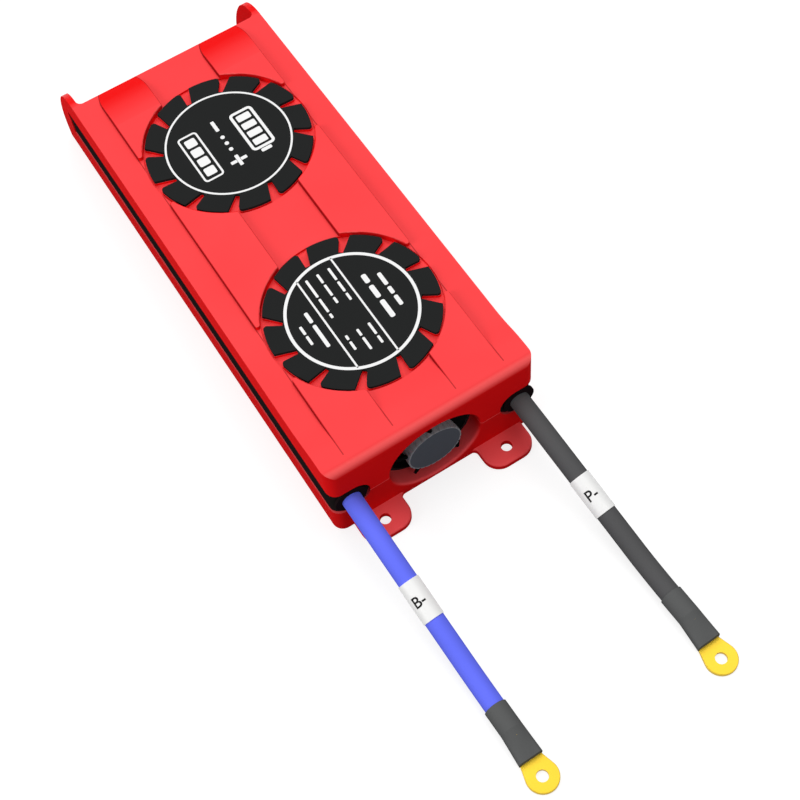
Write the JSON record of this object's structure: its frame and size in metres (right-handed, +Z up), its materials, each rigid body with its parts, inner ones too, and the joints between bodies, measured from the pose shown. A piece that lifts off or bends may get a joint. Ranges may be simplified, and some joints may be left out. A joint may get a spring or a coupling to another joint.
{
  "type": "battery management board",
  "caption": "Battery management board in a red moulded housing with raised vane discs, a cooling fan, mounting ears, and power cables ending in ring lugs.",
  "frame": {"origin": "middle of the four mounting holes, on the flat underside", "axes": "+Z up from the underside, +Y along the housing towards the socket end, -Y towards the fan and the power cables, +X to the right seen from the fan end"},
  "size_m": [0.0687, 0.259, 0.0329],
  "materials": {
    "cover_red": "satin moulded red",
    "base_red": "satin moulded red, darker batch",
    "frame_black": "matte moulded black",
    "label_black": "printed film",
    "fan_black": "moulded black",
    "rotor_grey": "moulded dark grey",
    "copper_winding": "varnished copper wire",
    "board_green": "solder mask on glass fibre",
    "chip_black": "moulded epoxy",
    "bare_steel": "bright zinc",
    "capacitor_sleeve": "shrunk film sleeve",
    "pad_grey": "soft silicone",
    "sink_aluminium": "extruded, plain",
    "socket_white": "natural nylon",
    "gold_brass": "plated",
    "grommet_rubber": "soft dark rubber",
    "cable_blue": "soft silicone sheath",
    "cable_black": "soft silicone sheath",
    "sleeve_white": "marker tube",
    "shrink_black": "heat-shrink tube",
    "lug_brass": "bright gold plate"
  },
  "bodies": {
    "enclosure": {"base_shell": "base_red", "battery_cable": "cable_blue", "battery_grommet": "grommet_rubber", "battery_lug": "lug_brass", "battery_shrink": "shrink_black", "battery_sleeve": "sleeve_white", "battery_terminal": "gold_brass", "board_screws": "bare_steel", "capacitors": "capacitor_sleeve", "control_chip": "chip_black", "cover_screws": "bare_steel", "data_socket": "socket_white", "fan_frame": "fan_black", "fan_lead": "cable_black", "fan_plug": "socket_white", "fan_stator": "copper_winding", "front_label": "label_black", "heat_sink": "sink_aluminium", "inner_frame": "frame_black", "main_board": "board_green", "pack_cable": "cable_black", "pack_grommet": "grommet_rubber", "pack_lug": "lug_brass", "pack_shrink": "shrink_black", "pack_sleeve": "sleeve_white", "pack_terminal": "gold_brass", "power_transistors": "chip_black", "probe_socket": "socket_white", "rear_label": "label_black", "sense_socket": "socket_white", "shunt_resistors": "bare_steel", "sink_screws": "bare_steel", "socket_pins": "gold_brass", "thermal_pad": "pad_grey", "top_cover": "cover_red"},
    "fan_rotor": {"fan_rotor": "rotor_grey"}
  },
  "joints": [
    {"name": "fan_spin", "type": "hinge", "parent": "enclosure", "child": "fan_rotor", "pos_m": [0, -0.07, 0.015], "axis": [0, 1, 0], "continuous": true}
  ]
}
